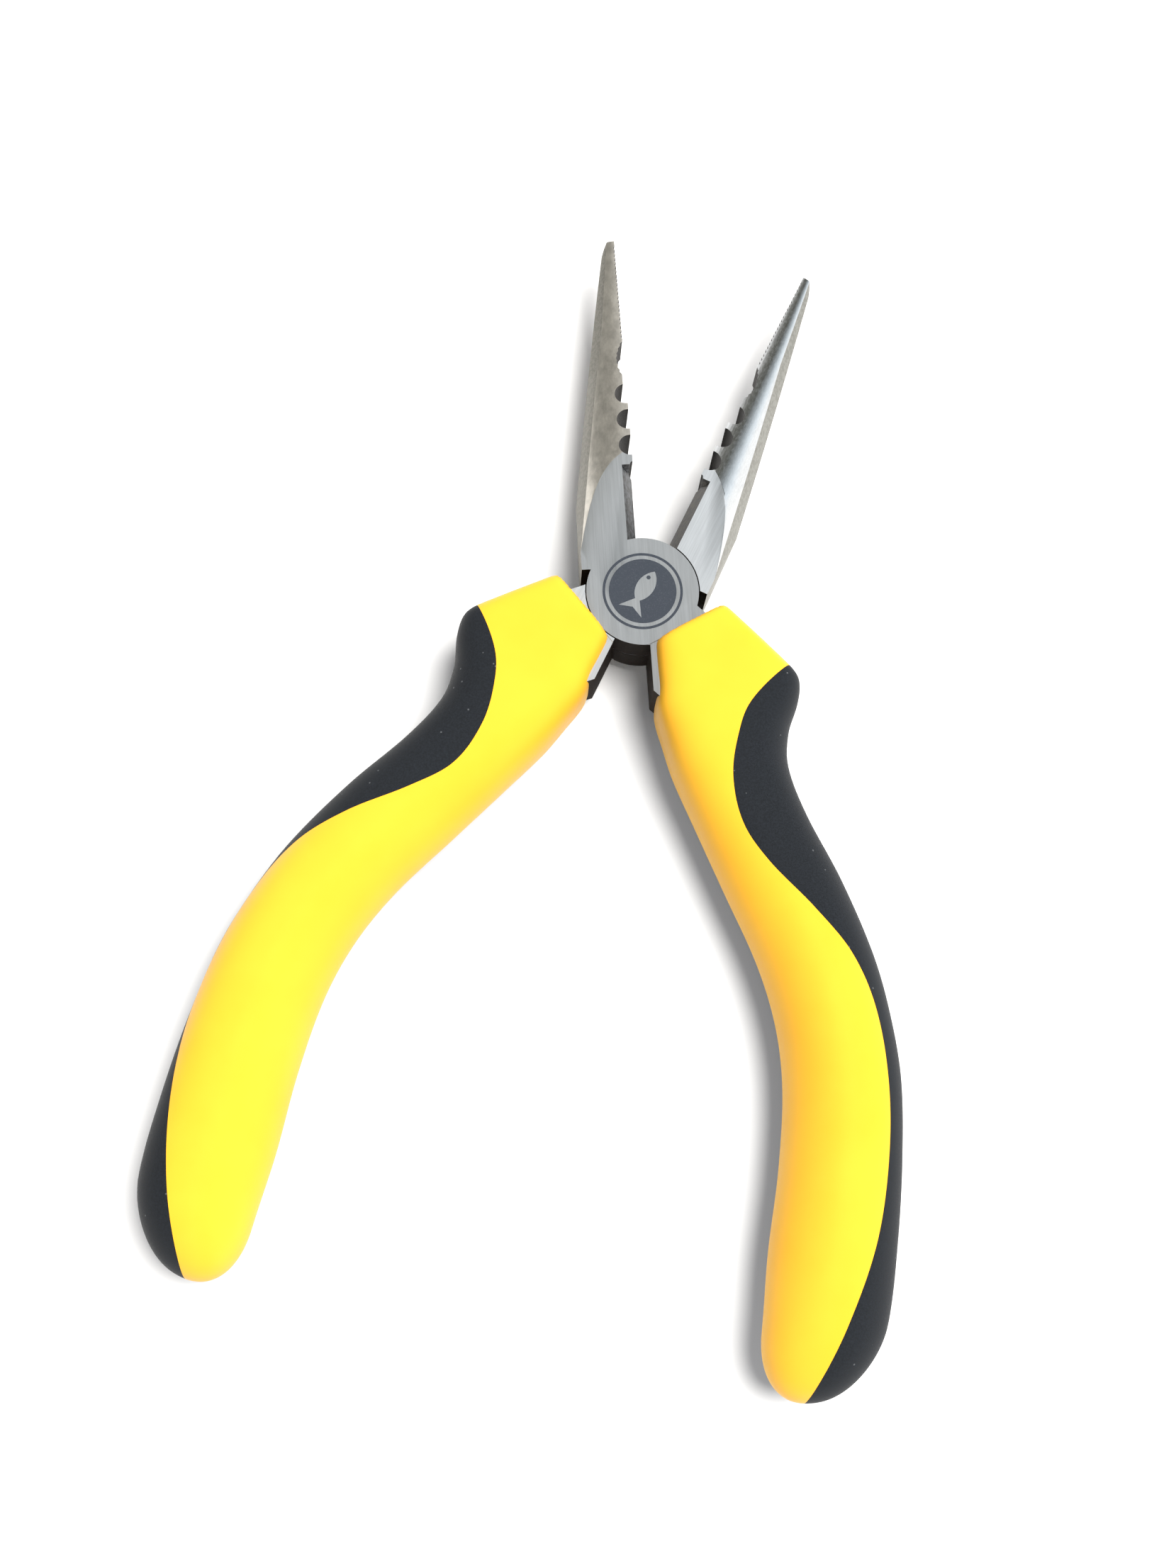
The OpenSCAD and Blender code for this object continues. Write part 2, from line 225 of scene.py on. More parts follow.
def multiply(tree, a, b):
    """Two colours multiplied."""
    node = tree.nodes.new("ShaderNodeMix")
    node.data_type = "RGBA"
    node.blend_type = "MULTIPLY"
    node.inputs["Factor"].default_value = 1
    tree.links.new(a, node.inputs["A"])
    tree.links.new(b, node.inputs["B"])
    return node.outputs["Result"]


def bump(tree, shader, height, depth_mm):
    """Raises the surface by a height pattern, depth_mm from lowest to highest."""
    node = tree.nodes.new("ShaderNodeBump")
    node.inputs["Strength"].default_value = 1
    node.inputs["Distance"].default_value = depth_mm * MM
    tree.links.new(height, node.inputs["Height"])
    tree.links.new(node.outputs["Normal"], shader.inputs["Normal"])


def grey(value, tint=(1, 1, 1)):
    """A tinted grey."""
    return tuple(value * t for t in tint)


print("material helpers ready")


# %% Ground flats and the polished nose
def ground_steel(name, colour, turn):
    """Surface-ground steel: fine lines along the lever over a soft cloudiness."""
    material, tree, shader = new_material(name, colour, metallic=1, roughness=0.42)
    lines = noise(tree, placed(tree, (5200, 140, 140), turn), detail=2)
    wide_lines = noise(tree, placed(tree, (1300, 60, 60), turn), detail=2)
    cloud = noise(tree, placed(tree, (260, 130, 260), turn), detail=4)
    fine = ramp(tree, lines, [(0.3, grey(0.86)), (0.7, grey(1.0))])
    wide = ramp(tree, wide_lines, [(0.35, grey(0.9)), (0.65, grey(1.0))])
    base = ramp(tree, cloud, [(0.35, grey(0.93, colour)), (0.65, colour)])
    tree.links.new(multiply(tree, multiply(tree, fine, wide), base), shader.inputs["Base Color"])
    tree.links.new(spread(tree, wide_lines, 0.36, 0.5), shader.inputs["Roughness"])
    bump(tree, shader, lines, 0.0016)
    return material


def nose_steel(name, colour, turn, roughness, dull):
    """Belt-polished steel: blotchy at a millimetre's scale, with short fine lines.
    dull is how bright the darkest blotches are."""
    material, tree, shader = new_material(name, colour, metallic=1, roughness=roughness)
    blotches = noise(tree, placed(tree, (750, 500, 750), turn), detail=5, roughness=0.62)
    grain = noise(tree, placed(tree, (4200, 1500, 4200), turn), detail=2)
    base = ramp(tree, blotches, [(0.36, grey(dull, colour)), (0.66, colour)])
    fine = ramp(tree, grain, [(0.3, grey(0.9)), (0.7, grey(1.0))])
    tree.links.new(multiply(tree, base, fine), shader.inputs["Base Color"])
    tree.links.new(spread(tree, grain, roughness - 0.05, roughness + 0.07), shader.inputs["Roughness"])
    bump(tree, shader, grain, 0.0022)
    return material


# Both levers are the same steel. The front copies of the flats and nose are coloured darker and warmer than
# the rear's: painted shade on the front lever, painted light on the rear.
front_ground = ground_steel("front_ground_flats", (0.55, 0.575, 0.59), rest_half)
rear_ground = ground_steel("rear_ground_flats", (0.84, 0.88, 0.91), -rest_half)
front_nose = nose_steel("front_polished_nose", (0.62, 0.59, 0.53), rest_half, 0.33, 0.72)
rear_nose = nose_steel("rear_polished_nose", (0.70, 0.71, 0.71), -rest_half, 0.17, 0.93)
print("ground and polished steel:", front_ground.name, rear_nose.name)


# %% Edge bands, bite, cutter, oxide and worn edges
def speckled(
    name, dark, light, period_mm, share, roughness, metallic=0.8, specular=0.5, depth_mm=0.02
):
    """A dark finish broken by lighter spots; share is how much of it stays dark."""
    material, tree, shader = new_material(name, dark, metallic=metallic, roughness=roughness)
    shader.inputs["Specular IOR Level"].default_value = specular
    scale = 1 / (period_mm * MM)
    spots = noise(tree, placed(tree, (scale, scale, scale)), detail=5, roughness=0.65)
    mixed = ramp(tree, spots, [(share - 0.07, dark), (share + 0.07, light)])
    tree.links.new(mixed, shader.inputs["Base Color"])
    tree.links.new(spread(tree, spots, roughness - 0.08, roughness + 0.1), shader.inputs["Roughness"])
    bump(tree, shader, spots, depth_mm)
    return material


# The front edge band is coloured darker than the rear's, and the front cutter bevel's spots lighter and
# bluer: painted light and shade, as both levers are the same steel.
front_band = speckled(
    "front_edge_band", (0.18, 0.173, 0.150), (0.26, 0.25, 0.22), period_mm=0.5, share=0.5, roughness=0.5
)
rear_band = speckled(
    "rear_edge_band", (0.25, 0.245, 0.22), (0.34, 0.335, 0.305), period_mm=0.6, share=0.5, roughness=0.5
)
bite_dark = speckled(
    "bite_steel", (0.010, 0.008, 0.006), (0.055, 0.047, 0.040), period_mm=0.25, share=0.6, roughness=0.55
)
front_cutter = speckled(
    "front_cutter_bevel", (0.010, 0.010, 0.011), (0.17, 0.18, 0.19), period_mm=0.8, share=0.5,
    roughness=0.45,
)
rear_cutter = speckled(
    "rear_cutter_bevel", (0.006, 0.005, 0.004), (0.095, 0.086, 0.073), period_mm=0.8, share=0.5,
    roughness=0.5,
)
black_oxide = speckled(
    "black_oxide", (0.009, 0.006, 0.004), (0.026, 0.018, 0.013), period_mm=0.3, share=0.55,
    roughness=0.75, metallic=0, specular=0.15,
)
worn_edge = speckled(
    "worn_edge", (0.30, 0.29, 0.27), (0.62, 0.61, 0.58), period_mm=0.4, share=0.45, roughness=0.35
)
print("unfinished steel ready")

# %% [markdown]
# ## Building with solids
#
# A forging is easiest to describe as solids that are added and cut, as a machinist would: blank,
# cut, drill. Each operand gives its faces a finish, and the Boolean modifier keeps it, so a drilled
# wall comes out in the drill's finish. Slots are the same on every operand, so an index is enough.

# %% Finishes by slot, and solid helpers
FAR, NEAR, PAST = 150, 50, 1  # how far a slab reaches along, across and past what it cuts
GROUND, NOSE, BAND, BITE, CUTTER, OXIDE, WORN = range(7)
STEEL = {
    "front": [front_ground, front_nose, front_band, bite_dark, front_cutter, black_oxide, worn_edge],
    "rear": [rear_ground, rear_nose, rear_band, bite_dark, rear_cutter, black_oxide, worn_edge],
}


def solid(name, points, faces, slots):
    """A mesh object from points in millimetres, faces and a slot index for each face."""
    mesh = bpy.data.meshes.new(name)
    mesh.from_pydata([tuple(p) for p in points], [], faces)
    mesh.polygons.foreach_set("material_index", slots)
    mesh.update()
    made = bpy.data.objects.new(name, mesh)
    bpy.context.scene.collection.objects.link(made)
    for material in STEEL["front"]:
        mesh.materials.append(material)
    return made


def prism(name, outline, low, high, side, cap):
    """An outline, counter-clockwise seen from above, raised from low to high.
    side is one slot, or a function of an edge's two ends."""
    n = len(outline)
    points = [(x, y, z) for z in (low, high) for x, y in outline]
    walls = [(k, (k + 1) % n, n + (k + 1) % n, n + k) for k in range(n)]
    ends = [tuple(range(n - 1, -1, -1)), tuple(range(n, 2 * n))]
    wall_slots = [
        side(outline[k], outline[(k + 1) % n]) if callable(side) else side for k in range(n)
    ]
    return solid(name, points, walls + ends, wall_slots + [cap, cap])


def drum(name, radius, low, high, side, cap, centre=(0, 0), n=160, top_radius=None):
    """A cylinder or cone frustum that stands along Z."""
    points = []
    for z, r in ((low, radius), (high, radius if top_radius is None else top_radius)):
        for k in range(n):
            a = 2 * math.pi * (k + 0.5) / n
            points.append((centre[0] + r * math.cos(a), centre[1] + r * math.sin(a), z))
    walls = [(k, (k + 1) % n, n + (k + 1) % n, n + k) for k in range(n)]
    ends = [tuple(range(n - 1, -1, -1)), tuple(range(n, 2 * n))]
    return solid(name, points, walls + ends, [side] * n + [cap, cap])


def settle(made):
    """Replaces an object's mesh by what its modifiers make of it."""
    bpy.context.view_layer.update()
    graph = bpy.context.evaluated_depsgraph_get()
    mesh = bpy.data.meshes.new_from_object(made.evaluated_get(graph), depsgraph=graph)
    made.modifiers.clear()
    made.data = mesh
    return made


def combine(base, tool, how):
    """UNION, DIFFERENCE or INTERSECT of two closed solids; the tool is used up."""
    step = base.modifiers.new("combine", "BOOLEAN")
    step.operation = how
    step.solver = "MANIFOLD"
    step.object = tool
    settle(base)
    bpy.data.objects.remove(tool)
    return base


print("solid helpers ready")

# %% [markdown]
# ## What repeats: teeth and notches
#
# The tip teeth, and the three crimping notches, are one cut repeated at a fixed pitch, as a
# broach or an indexed drill makes them. They could be drawn one by one in the outline. A Geometry
# Nodes tree that repeats its own input along the jaw says it better: count and pitch are inputs.


# %% A tree that repeats a cutter along the jaw
def row_tree():
    """Repeats the incoming geometry Count times, Pitch apart along Y."""
    tree = bpy.data.node_groups.new("row_along_jaw", "GeometryNodeTree")
    face = tree.interface
    face.new_socket("Geometry", in_out="INPUT", socket_type="NodeSocketGeometry")
    face.new_socket("Count", in_out="INPUT", socket_type="NodeSocketInt")
    face.new_socket("Pitch", in_out="INPUT", socket_type="NodeSocketFloat")
    face.new_socket("Finish", in_out="INPUT", socket_type="NodeSocketMaterial")
    face.new_socket("Geometry", in_out="OUTPUT", socket_type="NodeSocketGeometry")
    node = tree.nodes.new
    given, result = node("NodeGroupInput"), node("NodeGroupOutput")
    line, offset = node("GeometryNodeMeshLine"), node("ShaderNodeCombineXYZ")
    copies, real = node("GeometryNodeInstanceOnPoints"), node("GeometryNodeRealizeInstances")
    finish = node("GeometryNodeSetMaterial")
    join = tree.links.new
    join(given.outputs["Count"], line.inputs["Count"])
    join(given.outputs["Pitch"], offset.inputs["Y"])
    join(offset.outputs["Vector"], line.inputs["Offset"])
    join(line.outputs["Mesh"], copies.inputs["Points"])
    join(given.outputs["Geometry"], copies.inputs["Instance"])
    join(copies.outputs["Instances"], real.inputs["Geometry"])
    join(real.outputs["Geometry"], finish.inputs["Geometry"])
    join(given.outputs["Finish"], finish.inputs["Material"])
    join(finish.outputs["Geometry"], result.inputs["Geometry"])
    return tree


def set_inputs(modifier, **values):
    """Sets a Geometry Nodes modifier's inputs through their sockets' identifiers."""
    for item in modifier.node_group.interface.items_tree:
        if item.item_type == "SOCKET" and item.in_out == "INPUT" and item.name in values:
            modifier[item.identifier] = values[item.name]


along_jaw = row_tree()


def repeat(tool, count, pitch):
    """Repeats a cutter along the jaw."""
    step = tool.modifiers.new("row", "NODES")
    step.node_group = along_jaw
    set_inputs(step, Count=count, Pitch=pitch, Finish=bite_dark)
    settle(tool)
    slots = [BITE] * len(tool.data.polygons)
    tool.data.materials.clear()
    for material in STEEL["front"]:
        tool.data.materials.append(material)
    tool.data.polygons.foreach_set("material_index", slots)
    return tool


def tooth_cutters():
    """V-shaped cuts from the teeth's start to the tip."""
    root, crest, half = -bite_gap - tooth_h, -bite_gap, tooth_pitch / 2 * 0.995
    outline = [(root, 0), (crest, -half), (tooth_clear, -half), (tooth_clear, half), (crest, half)]
    moved = [(x, y + teeth_y + tooth_pitch / 2) for x, y in outline]
    cutter = prism("tooth_cutter", moved, -half_t - PAST, half_t + PAST, BITE, BITE)
    return repeat(cutter, tooth_n, tooth_pitch)


def notch_cutters():
    """The three round crimping notches."""
    low, high = -half_t - PAST, half_t + PAST
    drill = drum("notch_drill", notch_r, low, high, BITE, BITE, (notch_x, notch_y), 72)
    return repeat(drill, notch_n, notch_pitch)


print("row tree inputs:", [i.name for i in along_jaw.interface.items_tree if i.in_out == "INPUT"])

# %% [markdown]
# ## The jaw
#
# Seen from above, a jaw is a plan with a straight bite and a tapering back. Seen from the end, its
# nose is half an ellipse that shrinks to the tip, and near the joint the ellipse stands higher
# than the head is thick, so the grinding wheel leaves a flat with a rounded far end. Extruding the
# plan and keeping only what lies inside the nose's skin gives that boundary for nothing.


# %% Nose formulas
def taper(y):
    return (y - taper_at) / (jaw_len - taper_at)


def nose_w(y):
    bowed = (1 - taper_bow) * taper(y) + taper_bow * max(taper(y), 0) ** 2
    return jaw_w - (jaw_w - tip_w) * bowed


def nose_t(y):
    below = max(neck_at - y, 0)
    straight = tip_t + (half_t - tip_t) * (jaw_len - y) / (jaw_len - neck_at)
    return straight + flare * below**2 / (below + 1.5)


def nose_top(y, x):
    return nose_t(y) * math.sqrt(max(0, 1 - (x / nose_w(y)) ** 2))


def nose_edge(y):
    return nose_w(y) - min(band_w, 0.3 * nose_w(y))


print("nose width at the tip in mm:", round(nose_w(jaw_len), 2))


# %% Nose skin and jaw plan
def nose_skin(rings=150, across=22):
    """The closed skin of the nose: polished round faces between two edge bands."""
    points, faces, slots = [], [], []
    for i in range(rings + 1):
        y = jaw_len + PAST - (jaw_len + 2 * PAST) * i / rings
        arc_turns = [math.pi / 2 * k / across for k in range(1, across + 1)]
        xs = [-PAST] + [nose_edge(y) * math.sin(a) for a in arc_turns]
        tops = [nose_top(y, max(x, 0)) for x in xs]
        points += [(-x, y, z) for x, z in zip(xs, tops)] + [(-nose_w(y), y, 0)]
        points += [(-x, y, -z) for x, z in zip(reversed(xs), reversed(tops))]
    n = 2 * (across + 1) + 1
    for i in range(rings):
        for k in range(n):
            j = (k + 1) % n
            faces.append((i * n + k, i * n + j, (i + 1) * n + j, (i + 1) * n + k))
            slots.append(BAND if k in (across, across + 1) else NOSE)
    faces += [tuple(range(n - 1, -1, -1)), tuple(rings * n + k for k in range(n))]
    return solid("nose_skin", points, faces, slots + [NOSE, NOSE])


def jaw_plan():
    """Bite along the closing line with its gripping hollow, tip, and tapering back."""
    waves = int(hollow_len / tooth_pitch)
    face = -bite_gap
    edge_end = jaw_len - 2 * tip_bevel
    plan = [(face, 0), (face, setback_y), (face - setback, setback_y + setback_rise)]
    plan.append((face - setback, hollow_y))
    for i in range(1, 2 * waves):
        u = i / (2 * waves)
        depth = hollow_h * math.sin(math.pi * u) + setback * (1 - u) - (i % 2) * hollow_tooth_h
        plan.append((face - depth, hollow_y + hollow_len * u))
    plan += [(face, teeth_y), (face, jaw_len), (-tip_w + tip_bevel, jaw_len), (-tip_w, edge_end)]
    for i in range(1, 41):
        y = edge_end - (edge_end - taper_at) * i / 40
        plan.append((-nose_w(y), y))
    return plan + [(-jaw_w, shoulder_y), (-1, shoulder_y), (-1, 0)]


def wall_finish(a, b):
    """The bite's walls are gritty, the shoulder and the back's root are black, the rest is matt."""
    bite_depth, just_above = 3, shoulder_y + 0.01
    if max(a[0], b[0]) > -bite_depth and min(a[1], b[1]) > just_above:
        return BITE
    return OXIDE if max(a[1], b[1]) < just_above else BAND


def cutter_bevel(side):
    """One of the two ground bevels that leave the cutter a thin edge."""
    x_top, x_edge = -bite_gap - bevel_w, -bite_gap
    high = blank_t + 0.2
    x_high = x_top - (high - half_t) * bevel_w / (half_t - cut_land)
    section = [(x_high, high), (bevel_past, high), (bevel_past, cut_land), (x_edge, cut_land)]
    if side < 0:
        section = [(x, -z) for x, z in reversed(section)]
    points = [(x, y, z) for y in (-PAST, cut_end) for x, z in section]
    walls = [(k, (k + 1) % 4, 4 + (k + 1) % 4, 4 + k) for k in range(4)]
    return solid("bevel_wheel", points, walls + [(3, 2, 1, 0), (4, 5, 6, 7)], [CUTTER] * 6)


def jaw():
    """The jaw, a little too thick: plan within the nose's skin, then cut, drilled and toothed."""
    made = prism("jaw", jaw_plan(), -blank_t, blank_t, wall_finish, GROUND)
    combine(made, nose_skin(), "INTERSECT")
    combine(made, notch_cutters(), "DIFFERENCE")
    combine(made, tooth_cutters(), "DIFFERENCE")
    low, high = -half_t - PAST, half_t + PAST
    relief = drum("relief", relief_r, low, high, BITE, BITE, (0, cut_end), 32)
    combine(made, relief, "DIFFERENCE")
    for side in (1, -1):
        combine(made, cutter_bevel(side), "DIFFERENCE")
    return made


print("jaw outline has", len(jaw_plan()), "points")

# %% [markdown]
# ## The lever
#
# Behind the jaw comes the lap joint: on the upper half of the thickness the lever keeps its own
# round disc, on the lower half a round seat is milled away for the other lever's disc. Below it
# the root dives under the grip's collar as a tang. The outer edges are then softened by a narrow
# Bevel, whose faces take the worn, bare finish, as handled tool edges do.


# %% Root, tang and collar recess
def middle(d):
    return (curve_at(OUTLINE, d, 1) + curve_at(OUTLINE, d, 2)) / 2


def tang_plan():
    """The flat bar inside the grip."""
    rows = [root_end + 2 + (tang_end - root_end) * i / 14 for i in range(15)]
    half = [tang_w / 2 - tang_taper * max(d - tang_taper_at, 0) for d in rows]
    inner = [(middle(d) - h, -d) for d, h in zip(rows, half)]
    outer = [(middle(d) + h, -d) for d, h in zip(rows, half)]
    return inner + outer[::-1] + [(root_out, 2 - root_end), (neck_in, 2 - root_end)]


def half_plane(turn, limit, low, high, side):
    """A big slab that holds everything below limit in the direction turn, in degrees."""
    a = math.radians(turn)
    corners = [(-FAR, -FAR), (limit, -FAR), (limit, FAR), (-FAR, FAR)]
    turned = [
        (x * math.cos(a) - y * math.sin(a), x * math.sin(a) + y * math.cos(a)) for x, y in corners
    ]
    return prism("half_plane", turned, low, high, side, side)


def root_block(low, high):
    """The root's full-thickness block, cut where it would meet the other jaw's shoulder."""
    plan = [
        (root_in, 0), (root_in, 0.8 - root_end), (neck_in, -1.6 - root_end),
        (root_out, -root_end), (root_out, 0),
    ]
    made = prism("root", plan, low, high, OXIDE, GROUND)
    stop = half_plane(90 - open_max, shoulder_y - stop_gap, low - PAST, high + PAST, OXIDE)
    return combine(made, stop, "INTERSECT")


def facing(side):
    """What the grinding wheel takes off one face of the blank."""
    low, high = (half_t, blank_t + PAST) if side > 0 else (-blank_t - PAST, -half_t)
    plan = [(-NEAR, -FAR), (NEAR, -FAR), (NEAR, FAR), (-NEAR, FAR)]
    return prism("facing", plan, low, high, GROUND, GROUND)


def collar_recess(side):
    """The slightly lower step that a collar's cheek sits on."""
    low, high = half_t - collar_step, half_t + 2 * PAST
    if side < 0:
        low, high = -high, -low
    plan = [(recess_in, -FAR), (NEAR, -FAR), (NEAR, NEAR), (recess_in, NEAR)]
    made = prism("recess", plan, low, high, GROUND, GROUND)
    limit = (mouth_own if side > 0 else mouth_other) - mouth_fit
    beyond = half_plane(mouth_turn - 90, limit, low - PAST, high + PAST, GROUND)
    return combine(made, beyond, "DIFFERENCE")


print("tang outline has", len(tang_plan()), "points")


# %% The lever, softened and bored
def soften(made, width, angle, slot):
    """A narrow bevel on every edge sharper than angle, in the finish of slot."""
    step = made.modifiers.new("soften", "BEVEL")
    step.width = width
    step.segments = 1
    step.limit_method = "ANGLE"
    step.angle_limit = math.radians(angle)
    step.use_clamp_overlap = True
    step.loop_slide = True
    step.material = slot
    step.harden_normals = False
    return settle(made)


def clean(made, distance=0.004):
    """Merges doubled points and dissolves slivers that cuts leave behind."""
    mesh = bmesh.new()
    mesh.from_mesh(made.data)
    bmesh.ops.remove_doubles(mesh, verts=mesh.verts, dist=distance)
    bmesh.ops.dissolve_degenerate(mesh, edges=mesh.edges, dist=distance)
    bmesh.ops.dissolve_limit(
        mesh, angle_limit=math.radians(0.5), verts=mesh.verts, edges=mesh.edges,
        delimit={"MATERIAL"},
    )
    mesh.to_mesh(made.data)
    mesh.free()
    return made


def dull_edges(made):
    """Gives softened edges in the bite and inside the joint the finish of their surroundings."""
    for face in made.data.polygons:
        x, y, z = face.center
        in_bite = y > cut_end and x > -bite_gap - setback - hollow_h
        if face.material_index != WORN:
            continue
        if in_bite and (y > hollow_y or abs(face.normal.z) < 0.35):
            face.material_index = BITE
        elif y < shoulder_y and abs(z) < half_t - 2 * collar_step:
            face.material_index = OXIDE


def bore(grow):
    """The rivet's hole with its countersink on the disc's face."""
    low, high, radius = half_t - rivet_sink, half_t + 0.2, rivet_r + grow
    made = drum("bore", radius, -half_t - PAST, half_t + PAST, OXIDE, OXIDE, n=96)
    top = drum("sink", radius, low, high, GROUND, GROUND, n=96, top_radius=radius + high - low)
    return combine(made, top, "UNION")


def lever(name, bore_grow):
    """One lever in its own frame, in millimetres."""
    made = combine(jaw(), root_block(-blank_t, blank_t), "UNION")
    combine(made, drum("disc", disc_r, 0, blank_t, OXIDE, GROUND), "UNION")
    seat = drum("seat", seat_r, -blank_t - PAST, lap_gap / 2, OXIDE, GROUND)
    combine(made, seat, "DIFFERENCE")
    combine(made, prism("tang", tang_plan(), -tang_t / 2, tang_t / 2, OXIDE, OXIDE), "UNION")
    for side in (1, -1):
        combine(made, facing(side), "DIFFERENCE")
        combine(made, collar_recess(side), "DIFFERENCE")
    combine(made, bore(bore_grow), "DIFFERENCE")
    clean(made)
    soften(made, 0.07, 35, WORN)
    dull_edges(made)
    made.name = name
    return made


print("lever functions ready")

# %% [markdown]
# ## Placing a piece
#
# The front lever is turned anticlockwise by half the opening and lifted to the head's middle. The
# rear one is first turned over about its long axis. The place goes into the mesh, so the object
# itself stays at the origin, and its Object coordinates are the frame's own.

# %% Placement
PLACE = {
    "front": Matrix.Translation((0, 0, half_t)) @ Matrix.Rotation(math.radians(rest_half), 4, "Z"),
    "rear": Matrix.Translation((0, 0, half_t))
    @ Matrix.Rotation(math.radians(-rest_half), 4, "Z")
    @ Matrix.Rotation(math.pi, 4, "Y"),
}
BODY = {"front": "front_half", "rear": "rear_half"}


def place(made, half, materials, smooth_angle=30):
    """Moves a mesh from its lever's frame to the shared frame, in metres, and sets its finishes."""
    made.data.transform(Matrix.Scale(MM, 4) @ PLACE[half])
    slots = [0] * len(made.data.polygons)
    made.data.polygons.foreach_get("material_index", slots)
    made.data.materials.clear()
    for material in materials:
        made.data.materials.append(material)
    made.data.polygons.foreach_set("material_index", slots)
    made.data.polygons.foreach_set("use_smooth", [True] * len(made.data.polygons))
    made.data.set_sharp_from_angle(angle=math.radians(smooth_angle))
    made.data.update()
    return made


def hand_over(made, half, node):
    """The piece rides on its half and stands for the CAD node of the same place."""
    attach(made, BODY[half])
    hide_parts(node)
    triangles = sum(len(p.vertices) - 2 for p in made.data.polygons)
    print(f"{made.name}: {triangles} triangles, rides on {BODY[half]}")


# %% Both levers
for half, grow in (("front", 0), ("rear", rivet_fit)):
    piece = place(lever(f"{half}_lever_steel", grow), half, STEEL[half])
    hand_over(piece, half, f"{half}_lever")

# %% [markdown]
# ## The rivet
#
# One rivet with two countersunk heads, ground flush with both faces. After grinding it can hardly
# be told from the disc round it, so it gets the disc's own finish.


# %% Rivet
def rivet():
    """Shank and two flush heads."""
    made = drum("pivot_rivet_steel", rivet_r, -half_t, half_t, OXIDE, GROUND, n=96)
    head = rivet_r + rivet_sink
    top = drum("head", rivet_r, half_t - rivet_sink, half_t, GROUND, GROUND, n=96, top_radius=head)
    low = drum("head", head, -half_t, rivet_sink - half_t, GROUND, GROUND, n=96, top_radius=rivet_r)
    combine(made, top, "UNION")
    return combine(made, low, "UNION")


piece = place(rivet(), "front", STEEL["front"])
hand_over(piece, "front", "pivot_rivet")

# %% [markdown]
# ## The grips' skin
#
# A moulded grip follows a rule: at each distance from the pivot its section is a superellipse with
# a middle, a half width, a half thickness and a squareness. That suits Geometry Nodes: a line of
# points carries the rule's numbers, a curve swept along it makes the rings, and one Set Position
# puts every ring point on its superellipse. The inner side is less square than the outer one, so
# a soft ridge runs down the palm.

# %% The line of stations
ring_fit = math.cos(math.radians(7.5))


def half_width(d):
    return (curve_at(OUTLINE, d, 2) - curve_at(OUTLINE, d, 1)) / 2 * cap(d)


def cap(d):
    """How far the rounded end has closed, from 1 to 0."""
    if d <= cap_start:
        return 1
    return max(0, 1 - ((d - cap_start) / (handle_end - cap_start)) ** cap_power) ** (1 / cap_power)


def half_thickness(d):
    if d <= collar_end:
        return collar_t / 2
    u = min((d - collar_end) / blend_len, 1)
    return curve_at(SECTION, d, 1) * grip_t / 2 * cap(d) * u + collar_t / 2 * (1 - u)


def stations():
    """Distances from the pivot at which a ring is drawn, close at the collar and at the end."""
    collar_from, collar_gap, palm_from = 0.8, 0.3, collar_end + 0.5
    collar = [collar_from + collar_gap * i for i in range(64)]
    palm = [palm_from + (cap_start - palm_from) * i / 90 for i in range(91)]
    end = [cap_start + (handle_end - cap_start) * math.sin(math.radians(a)) for a in range(6, 88, 3)]
    return collar + palm + end + [handle_end - 0.02]


STATION_RULES = {
    "distance": lambda d: d,
    "centre": middle,
    "half_width": half_width,
    "half_thickness": half_thickness,
    "outer_square": lambda d: curve_at(SECTION, d, 2),
    "inner_square": lambda d: curve_at(SECTION, d, 3),
}


def station_line(name):
    """A line of points, one for each station, that carries the section's numbers."""
    rows = stations()
    mesh = bpy.data.meshes.new(name)
    mesh.from_pydata([(0, -d, 0) for d in rows], [(i, i + 1) for i in range(len(rows) - 1)], [])
    for column, rule in STATION_RULES.items():
        values = [rule(d) for d in rows]
        mesh.attributes.new(column, "FLOAT", "POINT").data.foreach_set("value", values)
    made = bpy.data.objects.new(name, mesh)
    bpy.context.scene.collection.objects.link(made)
    return made


print("stations along a grip:", len(stations()))


